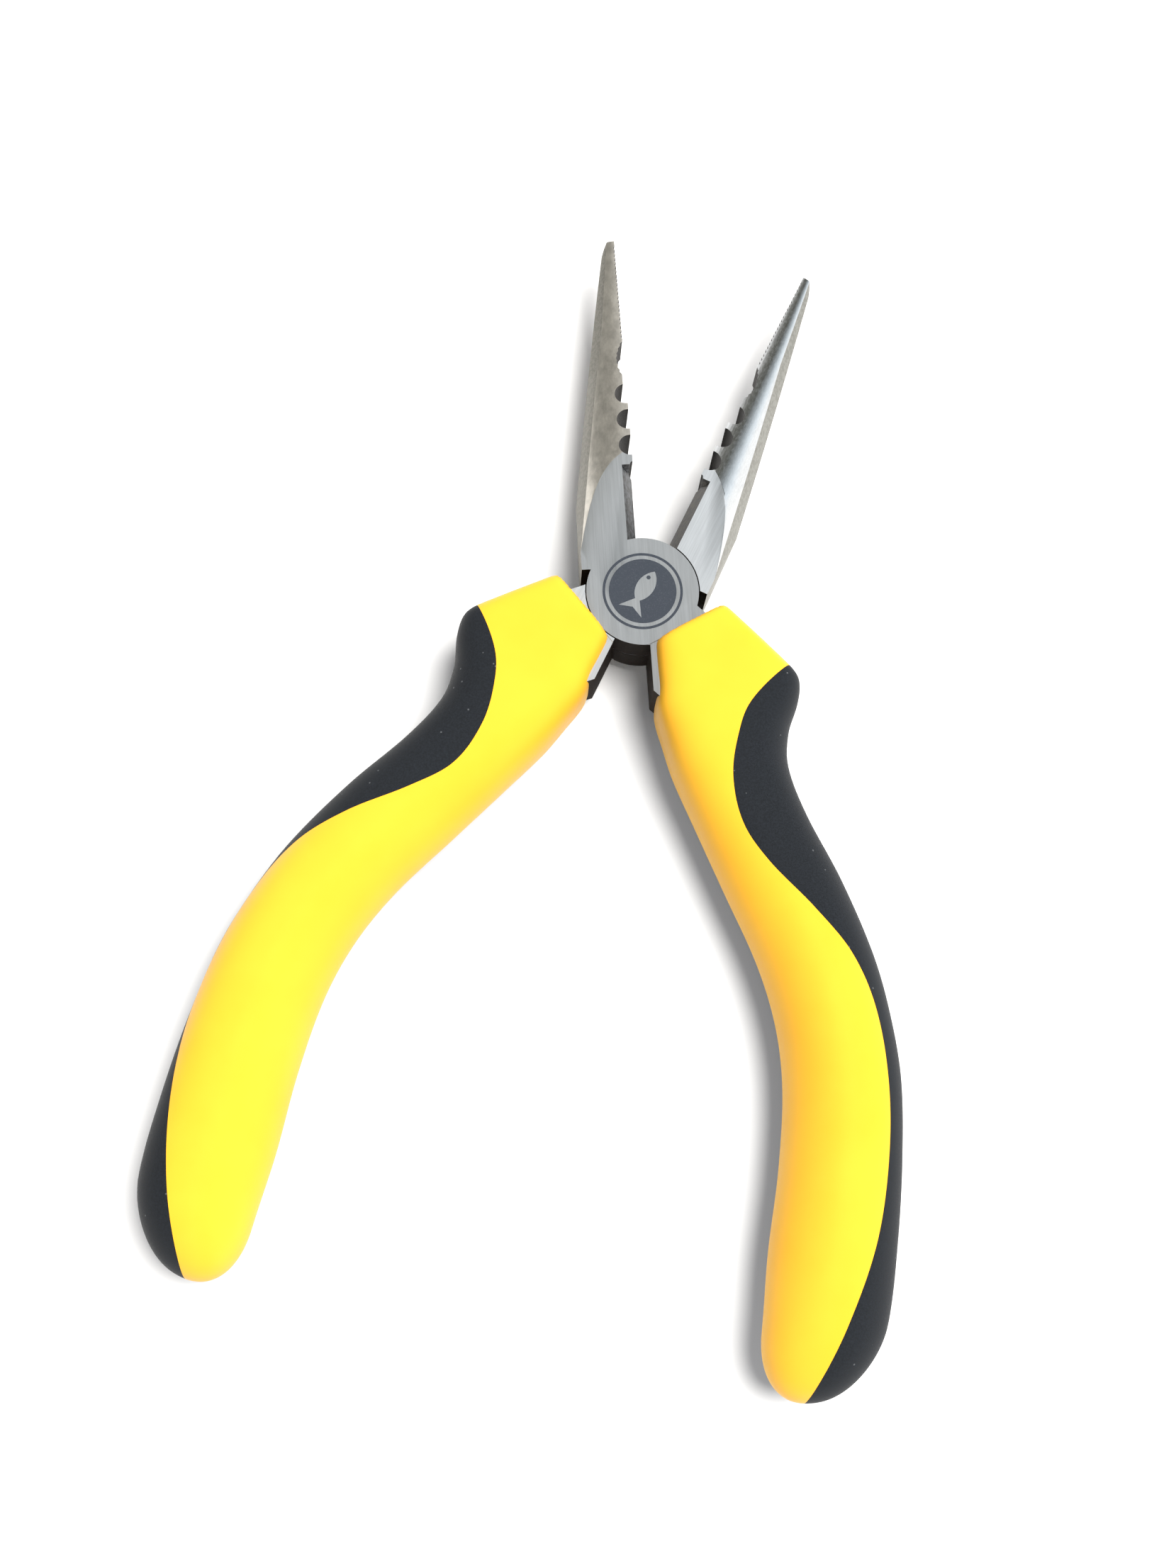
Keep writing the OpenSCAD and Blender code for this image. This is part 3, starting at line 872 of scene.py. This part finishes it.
# %% A tree that hangs a superellipse on every station
def skin_tree():
    """Sweeps rings along a line and puts each point on its station's superellipse."""
    tree = bpy.data.node_groups.new("grip_skin", "GeometryNodeTree")
    face = tree.interface
    face.new_socket("Geometry", in_out="INPUT", socket_type="NodeSocketGeometry")
    face.new_socket("Ring Points", in_out="INPUT", socket_type="NodeSocketInt")
    face.new_socket("Ring Fit", in_out="INPUT", socket_type="NodeSocketFloat")
    face.new_socket("Finish", in_out="INPUT", socket_type="NodeSocketMaterial")
    face.new_socket("Geometry", in_out="OUTPUT", socket_type="NodeSocketGeometry")
    join = tree.links.new

    def node(kind, **settings):
        made = tree.nodes.new(kind)
        for key, value in settings.items():
            setattr(made, key, value)
        return made

    def math_node(operation, a, b=None):
        made = node("ShaderNodeMath", operation=operation)
        for socket, value in zip(made.inputs, (a, b)):
            if isinstance(value, (int, float)):
                socket.default_value = value
            elif value is not None:
                join(value, socket)
        return made.outputs["Value"]

    def number(name):
        made = node("GeometryNodeInputNamedAttribute", data_type="FLOAT")
        made.inputs["Name"].default_value = name
        return made.outputs["Attribute"]

    given, result = node("NodeGroupInput"), node("NodeGroupOutput")
    path = node("GeometryNodeMeshToCurve")
    ring = node("GeometryNodeCurvePrimitiveCircle")
    index = node("GeometryNodeInputIndex")
    named = node("GeometryNodeStoreNamedAttribute", data_type="FLOAT", domain="POINT")
    named.inputs["Name"].default_value = "turn"
    share = math_node("DIVIDE", math_node("ADD", index.outputs["Index"], 0.5), given.outputs["Ring Points"])
    join(math_node("MULTIPLY", share, 2 * math.pi), named.inputs["Value"])
    join(given.outputs["Ring Points"], ring.inputs["Resolution"])
    join(ring.outputs["Curve"], named.inputs["Geometry"])
    swept = node("GeometryNodeCurveToMesh")
    swept.inputs["Fill Caps"].default_value = True
    join(given.outputs["Geometry"], path.inputs["Mesh"])
    join(path.outputs["Curve"], swept.inputs["Curve"])
    join(named.outputs["Geometry"], swept.inputs["Profile Curve"])

    across, up = math_node("COSINE", number("turn")), math_node("SINE", number("turn"))
    is_inner = math_node("LESS_THAN", across, 0)
    square_gap = math_node("SUBTRACT", number("inner_square"), number("outer_square"))
    square = math_node("ADD", number("outer_square"), math_node("MULTIPLY", is_inner, square_gap))
    reach = math_node(
        "ADD", math_node("POWER", math_node("ABSOLUTE", across), square),
        math_node("POWER", math_node("ABSOLUTE", up), square),
    )
    size = math_node(
        "MULTIPLY", math_node("POWER", reach, math_node("DIVIDE", -1, square)),
        math_node("POWER", given.outputs["Ring Fit"], math_node("DIVIDE", 2, square)),
    )

    def on_ring(part, half):
        return math_node("MULTIPLY", math_node("MULTIPLY", part, size), half)

    position, place_at = node("GeometryNodeInputPosition"), node("ShaderNodeCombineXYZ")
    apart = node("ShaderNodeSeparateXYZ")
    join(position.outputs["Position"], apart.inputs["Vector"])
    join(math_node("ADD", number("centre"), on_ring(across, number("half_width"))), place_at.inputs["X"])
    join(math_node("MULTIPLY", number("distance"), -1), place_at.inputs["Y"])
    join(on_ring(up, number("half_thickness")), place_at.inputs["Z"])
    moved = node("GeometryNodeSetPosition")
    join(swept.outputs["Mesh"], moved.inputs["Geometry"])
    join(place_at.outputs["Vector"], moved.inputs["Position"])
    real, finish = node("GeometryNodeRealizeInstances"), node("GeometryNodeSetMaterial")
    join(moved.outputs["Geometry"], real.inputs["Geometry"])
    join(real.outputs["Geometry"], finish.inputs["Geometry"])
    join(given.outputs["Finish"], finish.inputs["Material"])
    join(finish.outputs["Geometry"], result.inputs["Geometry"])
    return tree


grip_skin = skin_tree()
print("skin tree nodes:", len(grip_skin.nodes))

# %% [markdown]
# ## Sleeves and inlays
#
# The two shots of the moulding share one outer skin and part along a seam. The skin is made once,
# its collar is cut off square to the lever and rounded over at the mouth, and then the seam's
# plan splits it: what lies outside the seam is the soft inlay, the rest is the hard sleeve.


# %% Grip form
def mouth_rounding(made, radius):
    """Draws the skin towards its middle near the mouth, so the collar's rim is rounded."""
    a = math.radians(mouth_turn - 90)
    count = len(made.data.vertices)
    points = np.zeros(count * 3)
    made.data.vertices.foreach_get("co", points)
    points = points.reshape(-1, 3)
    limit = np.where(points[:, 2] > 0, mouth_own, mouth_other)
    inside = np.clip(points[:, 0] * math.cos(a) + points[:, 1] * math.sin(a) - limit, 0, radius)
    drop = radius - np.sqrt(radius**2 - (radius - inside) ** 2)
    points[:, 2] -= drop * np.clip(points[:, 2] / (4 * radius), -1, 1)
    made.data.vertices.foreach_set("co", points.ravel())
    made.data.update()


def grip_form(name, ring_points=112):
    """The whole grip's outer form, from the collar's mouth to the rounded end."""
    made = station_line(name)
    step = made.modifiers.new("skin", "NODES")
    step.node_group = grip_skin
    set_inputs(step, **{"Ring Points": ring_points, "Ring Fit": ring_fit, "Finish": front_ground})
    settle(made)
    mesh = bmesh.new()
    mesh.from_mesh(made.data)
    bmesh.ops.remove_doubles(mesh, verts=mesh.verts, dist=0.0005)
    bmesh.ops.recalc_face_normals(mesh, faces=mesh.faces)
    mesh.to_mesh(made.data)
    mesh.free()
    for column in (*STATION_RULES, "turn"):
        if column in made.data.attributes:
            made.data.attributes.remove(made.data.attributes[column])
    mouth_rounding(made, mouth_radius)
    for limit, low, high in ((mouth_own, 0, FAR), (mouth_other, -FAR, 0)):
        combine(made, half_plane(mouth_turn - 90, limit, low, high, 0), "DIFFERENCE")
    return made


def grip_core(made):
    """Cuts out what the grip is moulded round."""
    core_t = half_t - collar_step
    combine(made, root_block(-core_t, core_t), "DIFFERENCE")
    combine(made, prism("tang", tang_plan(), -tang_t / 2, tang_t / 2, 0, 0), "DIFFERENCE")
    room = drum("room", seat_r + 1, -half_t, half_t, 0, 0, n=96)
    return combine(made, room, "DIFFERENCE")


def inlay_side(up, shift):
    """A block that holds everything outside the seam, on the upper or the lower half."""
    start, end = SEAM[0][0], SEAM[-1][0]
    rows = [start + (end - start) * i / 160 for i in range(161)]
    edge = [(curve_at(SEAM, d, 1) - up * curve_at(SEAM, d, 2) + shift, -d) for d in rows]
    plan = edge + [(edge[-1][0], -FAR), (FAR, -FAR), (FAR, -start)]
    low, high = (0, FAR) if up > 0 else (-FAR, 0)
    return prism("inlay_side", plan, low, high, 0, 0)


def inlay_block(shift):
    """Both halves of the inlay's side as one solid."""
    return combine(inlay_side(1, shift), inlay_side(-1, shift), "UNION")


def sleeve(name):
    """The hard shot: the grip without what lies outside the seam."""
    return combine(grip_core(grip_form(name)), inlay_block(0), "DIFFERENCE")


def inlay(name):
    """The soft shot: what lies outside the seam."""
    return grip_core(combine(grip_form(name), inlay_block(seam_gap), "INTERSECT"))


print("grip functions ready")

# %% [markdown]
# ## Plastic and rubber
#
# The sleeve is a satin, strongly coloured plastic: the mould's fine texture breaks its gloss. The
# inlay is a matt elastomer, which picks up dust, so it has a few tiny light specks.


# %% Moulded finishes
def satin_plastic(name, colour):
    """Bright satin plastic with a faint mould texture and a slight change of depth in its colour."""
    material, tree, shader = new_material(name, colour, roughness=0.42)
    shader.inputs["Specular IOR Level"].default_value = 0.35
    cloud = noise(tree, placed(tree, (90, 90, 90)), detail=3)
    grain = noise(tree, placed(tree, (3200, 3200, 3200)), detail=2)
    deep = tuple(c * f for c, f in zip(colour, (0.985, 0.95, 0.85)))
    tree.links.new(ramp(tree, cloud, [(0.35, deep), (0.65, colour)]), shader.inputs["Base Color"])
    tree.links.new(spread(tree, grain, 0.38, 0.5), shader.inputs["Roughness"])
    bump(tree, shader, grain, 0.004)
    return material


def dusty_rubber(name, colour, speck):
    """Matt elastomer with a fine grain and sparse specks of dust."""
    material, tree, shader = new_material(name, colour, roughness=0.62)
    shader.inputs["Specular IOR Level"].default_value = 0.28
    grain = noise(tree, placed(tree, (4500, 4500, 4500)), detail=3)
    fine = ramp(tree, grain, [(0.35, grey(0.72, colour)), (0.7, grey(1.35, colour))])
    cells = tree.nodes.new("ShaderNodeTexVoronoi")
    cells.inputs["Scale"].default_value = 1
    tree.links.new(placed(tree, (520, 520, 520)), cells.inputs["Vector"])
    dots = ramp(tree, cells.outputs["Distance"], [(0.05, (1, 1, 1)), (0.075, (0, 0, 0))])
    dust = tree.nodes.new("ShaderNodeMix")
    dust.data_type = "RGBA"
    tree.links.new(dots, dust.inputs["Factor"])
    tree.links.new(fine, dust.inputs["A"])
    dust.inputs["B"].default_value = (*speck, 1)
    tree.links.new(dust.outputs["Result"], shader.inputs["Base Color"])
    tree.links.new(spread(tree, grain, 0.55, 0.72), shader.inputs["Roughness"])
    bump(tree, shader, grain, 0.012)
    return material


yellow = satin_plastic("yellow_sleeve", (0.93, 0.49, 0.030))
rubber = dusty_rubber("dark_inlay", (0.012, 0.0138, 0.0165), (0.08, 0.084, 0.088))
print("moulded finishes:", yellow.name, rubber.name)

# %% Both grips
for half in ("front", "rear"):
    piece = place(sleeve(f"{half}_sleeve"), half, [yellow], 35)
    piece.visible_diffuse = False  # keeps the sleeve's colour out of the floor's shadows
    hand_over(piece, half, f"{half}_grip_sleeve")
    piece = place(inlay(f"{half}_inlay"), half, [rubber], 35)
    hand_over(piece, half, f"{half}_grip_inlay")

# %% [markdown]
# ## The printed mark
#
# The maker's print on the joint disc is left out. A plain ring round a simple fish, in the same
# dark ink, stands in its place. Ink has a thickness, so it is a film of a hundredth of a
# millimetre and not a flat picture.


# %% Mark
FILM_T, FILM_SINK = 0.012, 0.004
FIELD_R, RING_IN, RING_OUT = 4.5, 5.0, 5.35
BACK_R, BACK_AT, BACK_DROP, EYE_R, FISH_TURN = 3.1, 0.75, 1.9, 0.28, 70


def arc(radius, start, end, n, centre):
    """Points along an arc, in degrees."""
    turns = [math.radians(start + (end - start) * i / n) for i in range(n + 1)]
    return [(centre[0] + radius * math.cos(a), centre[1] + radius * math.sin(a)) for a in turns]


def printed_mark(name):
    """A dark round field with a fish left bare in it, and a thin ring round the field."""
    low, high, above = half_t - FILM_SINK, half_t + FILM_T, 2 * half_t
    made = drum("field", FIELD_R, low, high, 0, 0, n=144)
    back = arc(BACK_R, 38, 142, 24, (BACK_AT, -BACK_DROP))
    belly = arc(BACK_R, 218, 322, 24, (BACK_AT, BACK_DROP))
    fish = prism("fish", back + belly, 0, above, 0, 0)
    tail = prism("tail", [(-3.3, 1.75), (-2.6, 0), (-3.3, -1.75), (-0.9, 0)], 0, above, 0, 0)
    combine(fish, tail, "UNION")
    eye = drum("eye", EYE_R, -PAST, above + PAST, 0, 0, (2.05, 0.3), 32)
    combine(made, combine(fish, eye, "DIFFERENCE"), "DIFFERENCE")
    ring = drum("ring", RING_OUT, low, high, 0, 0, n=144)
    combine(ring, drum("inside", RING_IN, 0, above, 0, 0, n=144), "DIFFERENCE")
    combine(made, ring, "UNION")
    made.name = name
    return made


ink = speckled(
    "dark_ink", (0.030, 0.036, 0.046), (0.055, 0.06, 0.072), period_mm=0.15, share=0.6, roughness=0.5,
    metallic=0,
)
piece = printed_mark("disc_print")
piece.data.transform(Matrix.Rotation(math.radians(FISH_TURN - rest_half), 4, "Z"))
place(piece, "front", [ink])
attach(piece, BODY["front"])
print(f"{piece.name}: rides on {BODY['front']}")

# %% [markdown]
# ## Floor, light and camera
#
# The pliers lie on a white table. One broad, low-contrast sun from the upper right gives the
# floor its white and the soft shadow at each piece's left. Polished steel shows only what it
# reflects, so the sky is painted by direction: even and warm on the left, dark to the upper
# right, and bright at the right horizon, as a studio's flag and softbox would make it.

# %% Floor
floor_z = cad_low.z - 0.05 * MM
bpy.ops.mesh.primitive_plane_add(size=6, location=(0, 0, floor_z))
floor = bpy.context.object
floor.name = "floor"
floor_paint, _, _ = new_material("white_floor", (0.86, 0.845, 0.82), roughness=0.9)
floor.data.materials.append(floor_paint)
print("floor at z in mm:", round(floor_z / MM, 2))


# %% Sun and sky
def sun(name, strength, azimuth, elevation, spread_degrees):
    """A sun that mirrors don't see, from an azimuth (0 along +X) and elevation, in degrees."""
    light = bpy.data.lights.new(name, "SUN")
    light.energy = strength
    light.angle = math.radians(spread_degrees)
    made = bpy.data.objects.new(name, light)
    bpy.context.scene.collection.objects.link(made)
    a, e = math.radians(azimuth), math.radians(elevation)
    towards = Vector((math.cos(e) * math.cos(a), math.cos(e) * math.sin(a), math.sin(e)))
    made.rotation_euler = towards.to_track_quat("Z", "Y").to_euler()
    made.visible_glossy = False


def studio_sky():
    """A plain soft fill, and for reflections a sky that differs from left to right."""
    world = bpy.data.worlds.new("studio")
    bpy.context.scene.world = world
    world.use_nodes = True
    tree = world.node_tree
    background = tree.nodes["Background"]
    fill = tree.nodes.new("ShaderNodeBackground")
    fill.inputs["Color"].default_value = (0.93, 0.95, 1.0, 1)
    fill.inputs["Strength"].default_value = 0.46
    path = tree.nodes.new("ShaderNodeLightPath")
    choice = tree.nodes.new("ShaderNodeMixShader")
    tree.links.new(path.outputs["Is Glossy Ray"], choice.inputs["Fac"])
    tree.links.new(fill.outputs["Background"], choice.inputs[1])
    tree.links.new(background.outputs["Background"], choice.inputs[2])
    tree.links.new(choice.outputs["Shader"], tree.nodes["World Output"].inputs["Surface"])
    where = tree.nodes.new("ShaderNodeTexCoord")
    apart = tree.nodes.new("ShaderNodeSeparateXYZ")
    tree.links.new(where.outputs["Generated"], apart.inputs["Vector"])
    across = tree.nodes.new("ShaderNodeMapRange")
    across.inputs["From Min"].default_value = -1
    across.inputs["From Max"].default_value = 1
    tree.links.new(apart.outputs["X"], across.inputs["Value"])
    sky = ramp(tree, across.outputs["Result"], [
        (0.0, (0.33, 0.33, 0.315)),
        (0.30, (0.36, 0.355, 0.335)),
        (0.42, (0.74, 0.74, 0.73)),
        (0.50, (0.96, 0.96, 0.96)),
        (0.56, (0.90, 0.90, 0.90)),
        (0.63, (0.14, 0.14, 0.127)),
        (0.73, (0.09, 0.09, 0.08)),
        (0.80, (0.30, 0.33, 0.35)),
        (0.87, (0.80, 0.87, 0.93)),
        (0.92, (1.0, 1.0, 1.0)),
    ])
    tree.links.new(sky, background.inputs["Color"])
    background.inputs["Strength"].default_value = 1.5


sun("key", strength=5.35, azimuth=25, elevation=69, spread_degrees=36)
studio_sky()
bpy.context.scene.view_settings.view_transform = "Standard"
print("light ready")

# %% Camera
FOCAL_SHARE = 1.14565
camera = bpy.data.cameras.new("camera")
camera.sensor_width = 36
camera.lens = camera.sensor_width * FOCAL_SHARE
camera.clip_start, camera.clip_end = 0.01, 20
eye = bpy.data.objects.new("camera", camera)
bpy.context.scene.collection.objects.link(eye)
eye.location = Vector((1.213, -83.53, 229.812 + half_t)) * MM
eye.rotation_euler = (0.2425, -0.0332, 0.1920)
bpy.context.scene.camera = eye
print("camera lens in mm:", round(camera.lens, 2))
